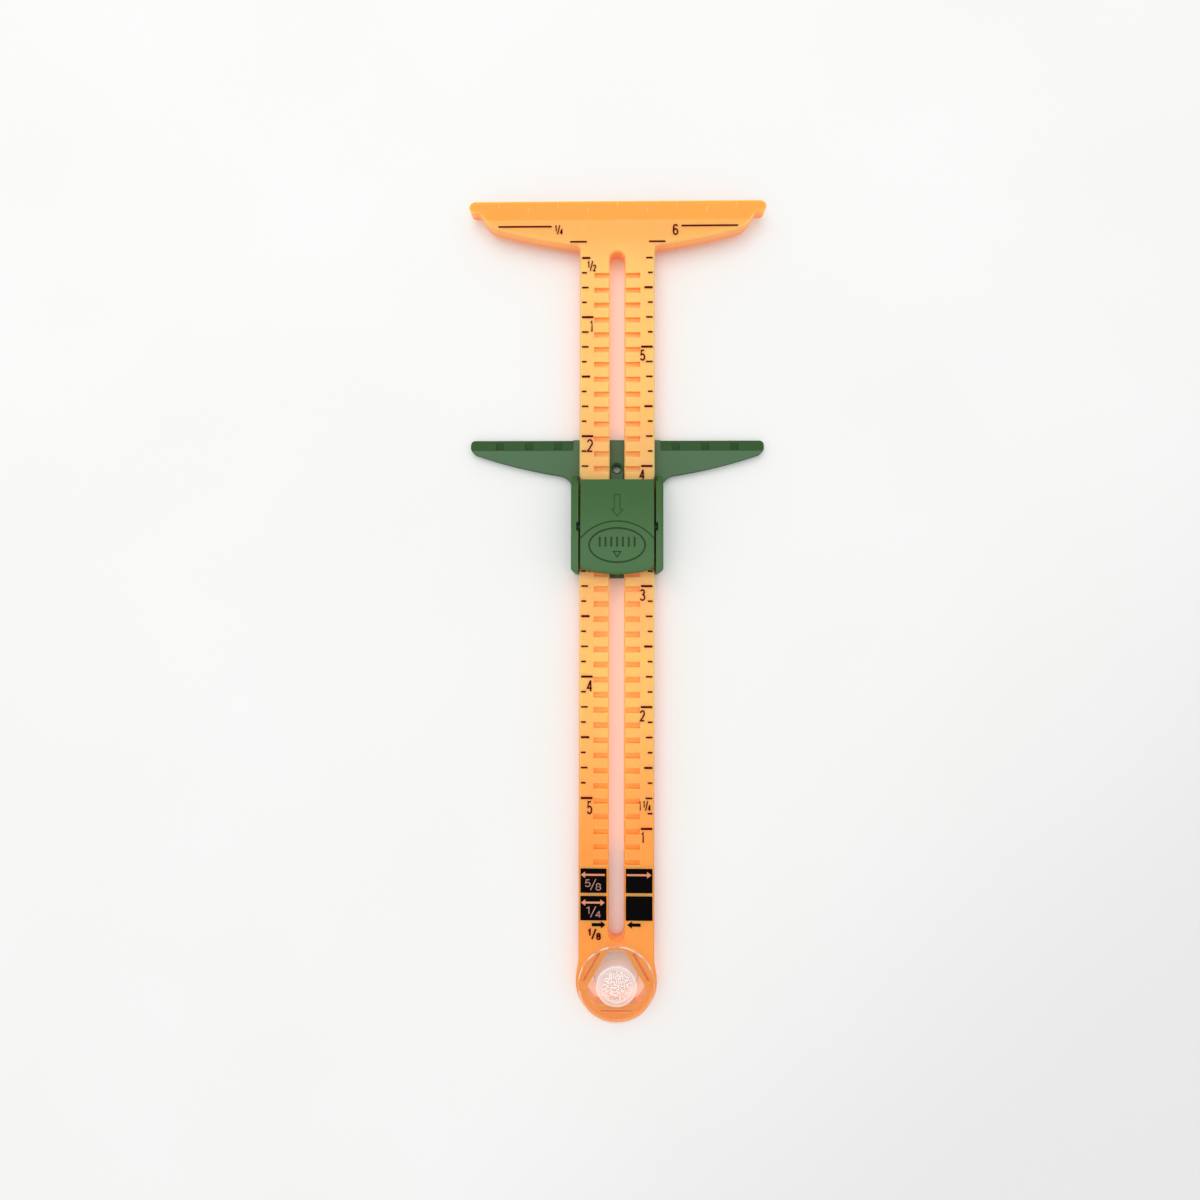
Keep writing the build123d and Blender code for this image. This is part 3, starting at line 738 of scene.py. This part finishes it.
disc_radius = (button_high.x - button_low.x) / 2


def rounded(corners):
    """A profile through corners given as (radius, height, rounding). Each rounding is the curve
    (1 - t)^2 before + 2 t (1 - t) corner + t^2 after, for t from 0 to 1, where before and after lie on the
    two lines that meet at the corner, at the rounding's distance from it."""
    corners = np.array(corners, float)
    place, cut = corners[:, :2], corners[:, 2]
    run = np.diff(place, axis=0)
    run /= np.linalg.norm(run, axis=1)[:, None]
    t = np.linspace(0, 1, CORNER_STEPS)[None, :, None]
    before = (place[1:-1] - run[:-1] * cut[1:-1, None])[:, None]
    after = (place[1:-1] + run[1:] * cut[1:-1, None])[:, None]
    bend = (1 - t) ** 2 * before + 2 * t * (1 - t) * place[1:-1, None] + t**2 * after
    return np.vstack([place[:1], bend.reshape(-1, 2), place[-1:]])


def lathe(profile, middle):
    """The profile turned about the upright line through middle: a point at radius r becomes the ring
    (x + r cos a, y + r sin a, height). Its first and last points lie on the line, and each is one vertex
    with a fan of triangles, so the skin is closed."""
    angle = np.linspace(0, 2 * math.pi, AROUND, endpoint=False)
    radius, height = profile[1:-1, 0][:, None], profile[1:-1, 1][:, None]
    x, y = middle[0] + radius * np.cos(angle), middle[1] + radius * np.sin(angle)
    rings = np.stack([x, y, height + 0 * angle], axis=-1)
    poles = [[*middle, profile[0, 1]], [*middle, profile[-1, 1]]]
    points = np.vstack([rings.reshape(-1, 3), poles])
    count = len(radius)
    here = np.arange(AROUND)
    beside = (here + 1) % AROUND
    row = AROUND * np.arange(count - 1)[:, None]
    quads = np.stack([row + here, row + AROUND + here, row + AROUND + beside, row + beside], axis=-1)
    top = np.stack([np.full(AROUND, count * AROUND), here, beside], axis=-1)
    last = AROUND * (count - 1)
    bottom = np.stack([np.full(AROUND, count * AROUND + 1), last + beside, last + here], axis=-1)
    return points, quads.reshape(-1, 4).tolist() + top.tolist() + bottom.tolist()


def clear_plastic():
    """Clear, and seen only where it turns light aside. The veil, which is how much of the surface is seen,
    paints highlights along the rim and on the ring, and glints in the frosted dish that also glow; the bead
    and the disc add a faint share. The orange under the disc is painted darker as shade, the dish pinkish
    grey between its glints as shade, and the boss low down pinkish as light from under the ruler."""
    finish = Finish("clear_plastic")
    radius, height = finish.distance(button_middle), finish.axis("Z")
    below_top = DISC_TOP - height
    broken = finish.ramp(finish.noise(3 * MM, 1.0), 0.42, 0.56)
    rim = finish.ramp(radius, disc_radius - 0.35 * MM, disc_radius - 0.1 * MM) * (0.4 + 0.6 * broken)
    upper_rim_highlight = rim * finish.ramp(below_top, 0.3 * MM, 0.15 * MM)
    lower_rim_highlight = rim * finish.ramp(below_top, 0.95 * MM, 1.1 * MM)
    above = finish.ramp(below_top, 0.9 * MM, 0.7 * MM)
    ring = finish.between(radius, *RING_INNER_SLOPE, *RING_OUTER_SLOPE) * above
    ring_edge = finish.ramp(abs(radius - RING_MIDDLE), 0.2 * MM, 0.36 * MM)
    dish = finish.ramp(radius, RING_INNER_SLOPE[1], RING_INNER_SLOPE[0]) * above
    painted_glints = finish.ramp(finish.noise(0.3 * MM, 8.0), 0.42, 0.6)
    disc = finish.ramp(radius, 4.2 * MM, 4.5 * MM) * finish.ramp(below_top, 0.3 * MM, 0.1 * MM)
    bead = finish.ramp(radius, 4.65 * MM, 4.85 * MM) * finish.ramp(height, 2.0 * MM, 1.6 * MM)
    # Painted highlights and glints: a white veil on the rim, the ring and the dish.
    veil = 0.03 + 0.75 * upper_rim_highlight + 0.3 * lower_rim_highlight
    veil = veil + ring * (0.5 + 0.45 * ring_edge) + dish * (0.4 + 0.5 * painted_glints)
    veil = veil + 0.2 * bead + 0.12 * disc
    # Painted shade under the disc and in the dish, and painted pink light low on the boss.
    layers = [
        (dish * (1 - painted_glints) * 0.8, DISH_SHADE),
        (disc * (1 - rim), DISC_SHADE),
        (finish.ramp(height, ruler_face, ruler_face - 1 * MM), BOSS_PINK_LIGHT),
    ]
    scratches = finish.noise(0.5 * MM, 4.0, (1.0, 5.0, 1.0))
    scratched = finish.bump(scratches, 0.05, 0.02 * MM)
    return finish.surface(
        {
            "Base Color": finish.layered(CLEAR_TINT, layers),
            "Roughness": 0.05 + 0.1 * scratches + 0.25 * dish,
            "Alpha": veil,
            "Normal": finish.bump(finish.noise(0.45 * MM, 3.0), 0.5, 0.1 * MM, scratched),
            "IOR": 1.49,
            "Transmission Weight": 0.3,
            # Painted light: the glints glow.
            "Emission Color": finish.blend(dish * painted_glints, NO_GLOW, GLINT_GLOW),
            "Emission Strength": 1.0,
        }
    )


button_profile = rounded(
    [
        (0, DISC_TOP - 0.45 * MM, 0),
        (2.8 * MM, DISC_TOP - 0.65 * MM, 0.3 * MM),
        (3.4 * MM, DISC_TOP + RING_HIGH, 0.15 * MM),
        (4.1 * MM, DISC_TOP + RING_HIGH, 0.15 * MM),
        (4.4 * MM, DISC_TOP, 0.12 * MM),
        (disc_radius, DISC_TOP, 0.35 * MM),
        (disc_radius, DISC_TOP - DISC_THICK, 0.35 * MM),
        (BOSS_RADIUS, DISC_TOP - DISC_THICK, 0.02 * MM),
        (BOSS_RADIUS, 1.45 * MM, 0.1 * MM),
        (BEAD_RADIUS, 1.1 * MM, 0.1 * MM),
        (BEAD_RADIUS, 0.75 * MM, 0.1 * MM),
        (BOSS_RADIUS, 0, 0.15 * MM),
        (HOLLOW_RADIUS, 0, 0.15 * MM),
        (HOLLOW_RADIUS, 3.2 * MM, 0.2 * MM),
        (2.45 * MM, 4.1 * MM, 0.2 * MM),
        (0, 4.3 * MM, 0),
    ]
)
button_mesh = lathe(button_profile, button_middle)
button = mesh_piece("pivot_button", *button_mesh, clear_plastic(), "button", "clear_plastic", True)
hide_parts("anchor_button")


# THE TABLE, THE LIGHT AND THE CAMERA
# The gauge lies on thin white cloth, lit by a wide soft lamp and by pale walls all round, and is seen from
# overhead.

TABLE_HALF = 1.5
TABLE_DROP = 0.02 * MM
CLOTH_LIGHT = colour(246, 247, 245)
CLOTH_SHADE = colour(242, 242, 239)
CLOTH_CORNER_SHADE = colour(233, 233, 232)
ROOM_COLOUR = (0.985, 0.99, 1.0, 1.0)
ROOM_LIGHT = 0.83
CAMERA_LENS = 18.92
CAMERA_SENSOR = 36
CAMERA_NEAR = 0.01
CAMERA_PLACE = (-1.612 * MM, -1.044 * MM, 137.547 * MM)
CAMERA_DEGREES = (1.019, 0.836, 0.117)


def white_cloth():
    """Matt and almost white, with a weave of two crossed noises, a slow change of shade, and a corner on
    the right below painted greyer, as shade."""
    finish = Finish("white_cloth")
    weave = finish.noise(0.5 * MM, 2.0, (1.0, 3.0, 1.0)) + finish.noise(0.5 * MM, 2.0, (3.0, 1.0, 1.0))
    shade = finish.noise(60 * MM, 2.0)
    # Painted shade: greyer towards the corner on the right below.
    corner = finish.ramp(finish.axis("X") - finish.axis("Y"), 60 * MM, 210 * MM)
    return finish.surface(
        {
            "Base Color": finish.layered(CLOTH_LIGHT, [(shade, CLOTH_SHADE), (corner, CLOTH_CORNER_SHADE)]),
            "Roughness": 0.85,
            "Normal": finish.bump(shade, 0.1, 2 * MM, finish.bump(weave, 0.08, 0.05 * MM)),
        }
    )


table_sides = TABLE_HALF * np.array([(-1, -1), (1, -1), (1, 1), (-1, 1)])
table_corners = np.column_stack([table_sides, np.full(4, -TABLE_DROP)])
table_mesh = bpy.data.meshes.new("table")
table_mesh.from_pydata(table_corners.tolist(), [], [[0, 1, 2, 3]])
table_mesh.materials.append(white_cloth())
table = bpy.data.objects.new("table", table_mesh)
bpy.context.scene.collection.objects.link(table)

world = bpy.data.worlds.new("pale_room")
world.use_nodes = True
world.node_tree.nodes["Background"].inputs["Color"].default_value = ROOM_COLOUR
world.node_tree.nodes["Background"].inputs["Strength"].default_value = ROOM_LIGHT
bpy.context.scene.world = world


def soft_lamp(name, place, aim, size, power):
    """A square lamp at a place, facing another, both in metres. It is tipped up from straight down by the
    angle whose tangent is the level distance over the drop, and turned about Z towards the aim."""
    lamp = bpy.data.lights.new(name, "AREA")
    lamp.shape = "SQUARE"
    lamp.size = size
    lamp.energy = power
    lamp_object = bpy.data.objects.new(name, lamp)
    place = np.array(place)
    toward = np.array(aim) - place
    lamp_object.location = place
    lamp_object.rotation_euler = (
        math.atan2(math.hypot(toward[0], toward[1]), -toward[2]),
        0,
        math.atan2(toward[1], toward[0]) - math.pi / 2,
    )
    bpy.context.scene.collection.objects.link(lamp_object)


soft_lamp("window", place=(-0.12, 0.28, 0.72), aim=(0, 0, 0), size=0.7, power=1.8)

camera = bpy.data.objects.new("camera", bpy.data.cameras.new("camera"))
camera.data.lens = CAMERA_LENS
camera.data.sensor_width = CAMERA_SENSOR
camera.data.clip_start = CAMERA_NEAR
camera.location = CAMERA_PLACE
camera.rotation_euler = [math.radians(angle) for angle in CAMERA_DEGREES]
bpy.context.scene.collection.objects.link(camera)
bpy.context.scene.camera = camera
bpy.context.scene.view_settings.view_transform = "Standard"
